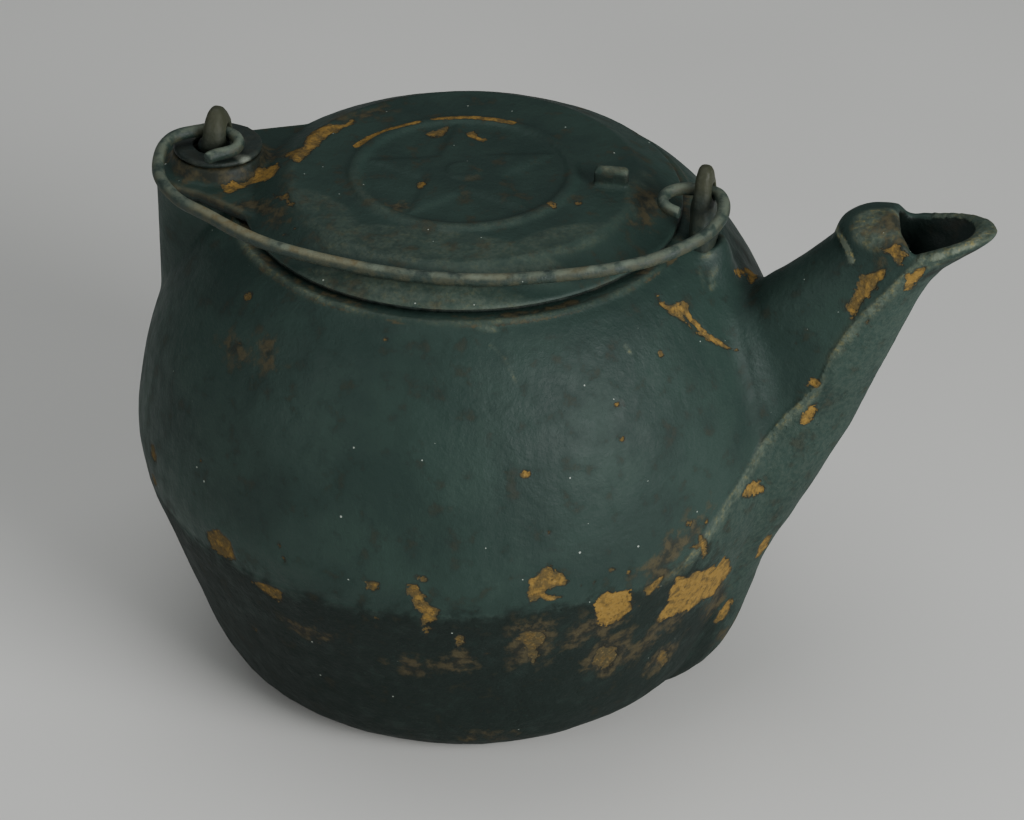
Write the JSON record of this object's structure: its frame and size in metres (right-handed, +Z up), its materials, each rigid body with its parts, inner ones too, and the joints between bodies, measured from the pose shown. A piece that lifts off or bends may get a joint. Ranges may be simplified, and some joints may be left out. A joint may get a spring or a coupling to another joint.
{
  "type": "cast iron tea kettle",
  "caption": "Squat cast iron stove kettle with a hooded spout, a lid that swings aside on its rear ear and a loose wire bail.",
  "frame": {"origin": "centre of the bowl's flat bottom, in the plane that it stands on", "axes": "+X to the spout, +Y to the side away from the resting bail, +Z up"},
  "size_m": [0.3199, 0.2456, 0.2128],
  "materials": {
    "body_paint": "old dark grey-green stove paint on rough cast iron, chipped to ochre rust",
    "lid_paint": "old dark grey-green stove paint on rough cast iron, rubbed at its edges",
    "ear_iron": "worn iron with brown rust and remains of paint",
    "washer_iron": "dull worn iron, bright along one edge",
    "bail_wire": "round steel wire, its paint rubbed to tan rust where it bears"
  },
  "bodies": {
    "kettle": {"kettle_body": "body_paint", "rear_ear": "ear_iron", "front_ear": "ear_iron"},
    "lid": {"lid": "lid_paint"},
    "washer": {"pivot_washer": "washer_iron"},
    "bail": {"bail": "bail_wire"}
  },
  "joints": [
    {"name": "lid_swing", "type": "hinge", "parent": "kettle", "child": "lid", "pos_m": [-0.0937, 0, 0.1853], "axis": [0, 0, 1], "range_deg": [0, 120]},
    {"name": "washer_turn", "type": "hinge", "parent": "kettle", "child": "washer", "pos_m": [-0.0937, 0, 0.1958], "axis": [0, 0, 1], "continuous": true},
    {"name": "bail_swing", "type": "hinge", "parent": "kettle", "child": "bail", "pos_m": [-0.0937, 0, 0.20284], "axis": [-1, 0, 0], "range_deg": [0, 180]}
  ]
}
